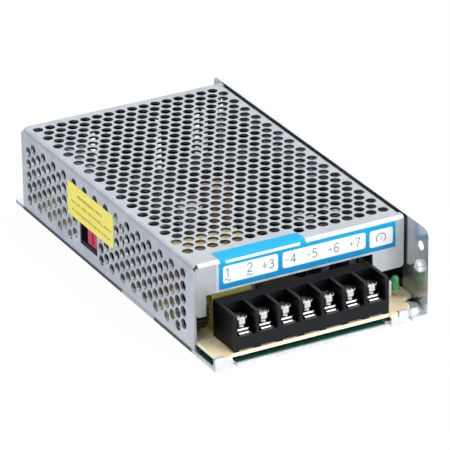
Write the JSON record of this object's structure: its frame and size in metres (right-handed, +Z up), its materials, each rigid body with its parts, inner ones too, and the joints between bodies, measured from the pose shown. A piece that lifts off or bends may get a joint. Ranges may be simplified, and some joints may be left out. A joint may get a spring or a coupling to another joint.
{
  "type": "enclosed switching power supply",
  "caption": "Enclosed switching power supply: folded metal chassis, perforated cover, screw terminals at one end, voltage selector on its side.",
  "frame": {"origin": "middle of the underside of the chassis", "axes": "+Y from the terminal end to the back, +X to the solid chassis wall, +Z up"},
  "size_m": [0.097, 0.178, 0.038],
  "materials": {
    "chassis_sheet": "bright rolled",
    "cover_sheet": "satin",
    "bright_metal": "bright plated",
    "board": "matt",
    "insulation": "matt",
    "label_blue": "printed film",
    "sticker_yellow": "printed film",
    "block_black": "moulded",
    "led_green": "tinted clear",
    "trimmer_white": "moulded",
    "brass": "bright",
    "slider_red": "moulded",
    "ceramic_tan": "matt",
    "disc_green": "dipped",
    "disc_blue": "dipped",
    "film_yellow": "moulded",
    "ferrite": "matt",
    "copper": "enamelled wire",
    "tape_yellow": "tape",
    "can_sleeve": "sleeved",
    "heatsink": "milled",
    "package_black": "moulded",
    "chip_white": "moulded",
    "core_yellow": "coated"
  },
  "bodies": {
    "case": {"chassis": "chassis_sheet", "perforated_cover": "cover_sheet", "cover_screws": "bright_metal", "wall_screw": "bright_metal", "insulation_sheet": "insulation", "circuit_board": "board", "board_screws": "bright_metal", "front_label": "label_blue", "side_sticker": "sticker_yellow", "terminal_block": "block_black", "terminal_plates": "bright_metal", "output_led": "led_green", "trimmer_body": "trimmer_white", "selector_body": "block_black", "input_fuse": "ceramic_tan", "inrush_thermistor": "disc_green", "surge_varistor": "disc_blue", "line_capacitor": "film_yellow", "input_coil_core": "ferrite", "input_coil_winding": "copper", "filter_choke_core": "ferrite", "filter_choke_winding": "tape_yellow", "bridge_rectifier": "package_black", "bulk_capacitor_1": "can_sleeve", "bulk_capacitor_2": "can_sleeve", "primary_heatsink": "heatsink", "switching_transistor_1": "package_black", "switching_transistor_2": "package_black", "transformer_core": "ferrite", "transformer_winding": "tape_yellow", "safety_capacitor_1": "disc_blue", "safety_capacitor_2": "disc_blue", "controller_chip": "package_black", "optocoupler": "chip_white", "secondary_heatsink": "heatsink", "output_rectifier_1": "package_black", "output_rectifier_2": "package_black", "output_coil_core": "core_yellow", "output_coil_winding": "copper", "output_capacitor_1": "can_sleeve", "output_capacitor_2": "can_sleeve", "output_capacitor_3": "can_sleeve", "output_capacitor_4": "can_sleeve"},
    "clamp_1": {"terminal_clamp_1": "bright_metal"},
    "screw_1": {"terminal_screw_1": "bright_metal"},
    "clamp_2": {"terminal_clamp_2": "bright_metal"},
    "screw_2": {"terminal_screw_2": "bright_metal"},
    "clamp_3": {"terminal_clamp_3": "bright_metal"},
    "screw_3": {"terminal_screw_3": "bright_metal"},
    "clamp_4": {"terminal_clamp_4": "bright_metal"},
    "screw_4": {"terminal_screw_4": "bright_metal"},
    "clamp_5": {"terminal_clamp_5": "bright_metal"},
    "screw_5": {"terminal_screw_5": "bright_metal"},
    "clamp_6": {"terminal_clamp_6": "bright_metal"},
    "screw_6": {"terminal_screw_6": "bright_metal"},
    "clamp_7": {"terminal_clamp_7": "bright_metal"},
    "screw_7": {"terminal_screw_7": "bright_metal"},
    "trimmer": {"trimmer_rotor": "brass"},
    "slider": {"selector_slider": "slider_red"}
  },
  "joints": [
    {"name": "clamp_lift_1", "type": "slide", "parent": "case", "child": "clamp_1", "axis": [0, 0, 1], "range_m": [0, 0.003]},
    {"name": "screw_turn_1", "type": "hinge", "parent": "clamp_1", "child": "screw_1", "pos_m": [-0.03335, -0.0813, 0.016], "axis": [0, 0, 1], "range_deg": [0, 1800]},
    {"name": "clamp_lift_2", "type": "slide", "parent": "case", "child": "clamp_2", "axis": [0, 0, 1], "range_m": [0, 0.003]},
    {"name": "screw_turn_2", "type": "hinge", "parent": "clamp_2", "child": "screw_2", "pos_m": [-0.02365, -0.0813, 0.016], "axis": [0, 0, 1], "range_deg": [0, 1800]},
    {"name": "clamp_lift_3", "type": "slide", "parent": "case", "child": "clamp_3", "axis": [0, 0, 1], "range_m": [0, 0.003]},
    {"name": "screw_turn_3", "type": "hinge", "parent": "clamp_3", "child": "screw_3", "pos_m": [-0.01395, -0.0813, 0.016], "axis": [0, 0, 1], "range_deg": [0, 1800]},
    {"name": "clamp_lift_4", "type": "slide", "parent": "case", "child": "clamp_4", "axis": [0, 0, 1], "range_m": [0, 0.003]},
    {"name": "screw_turn_4", "type": "hinge", "parent": "clamp_4", "child": "screw_4", "pos_m": [-0.00425, -0.0813, 0.016], "axis": [0, 0, 1], "range_deg": [0, 1800]},
    {"name": "clamp_lift_5", "type": "slide", "parent": "case", "child": "clamp_5", "axis": [0, 0, 1], "range_m": [0, 0.003]},
    {"name": "screw_turn_5", "type": "hinge", "parent": "clamp_5", "child": "screw_5", "pos_m": [0.00545, -0.0813, 0.016], "axis": [0, 0, 1], "range_deg": [0, 1800]},
    {"name": "clamp_lift_6", "type": "slide", "parent": "case", "child": "clamp_6", "axis": [0, 0, 1], "range_m": [0, 0.003]},
    {"name": "screw_turn_6", "type": "hinge", "parent": "clamp_6", "child": "screw_6", "pos_m": [0.01515, -0.0813, 0.016], "axis": [0, 0, 1], "range_deg": [0, 1800]},
    {"name": "clamp_lift_7", "type": "slide", "parent": "case", "child": "clamp_7", "axis": [0, 0, 1], "range_m": [0, 0.003]},
    {"name": "screw_turn_7", "type": "hinge", "parent": "clamp_7", "child": "screw_7", "pos_m": [0.02485, -0.0813, 0.016], "axis": [0, 0, 1], "range_deg": [0, 1800]},
    {"name": "trimmer_turn", "type": "hinge", "parent": "case", "child": "trimmer", "pos_m": [0.037, -0.0681, 0.01], "axis": [0, 0, 1], "range_deg": [-130, 130]},
    {"name": "selector_slide", "type": "slide", "parent": "case", "child": "slider", "axis": [0, 1, 0], "range_m": [0, 0.0044]}
  ],
  "couplings": [
    {"joint": "screw_turn_1", "follows": "clamp_lift_1", "rad_per_m": 10472},
    {"joint": "screw_turn_2", "follows": "clamp_lift_2", "rad_per_m": 10472},
    {"joint": "screw_turn_3", "follows": "clamp_lift_3", "rad_per_m": 10472},
    {"joint": "screw_turn_4", "follows": "clamp_lift_4", "rad_per_m": 10472},
    {"joint": "screw_turn_5", "follows": "clamp_lift_5", "rad_per_m": 10472},
    {"joint": "screw_turn_6", "follows": "clamp_lift_6", "rad_per_m": 10472},
    {"joint": "screw_turn_7", "follows": "clamp_lift_7", "rad_per_m": 10472}
  ]
}
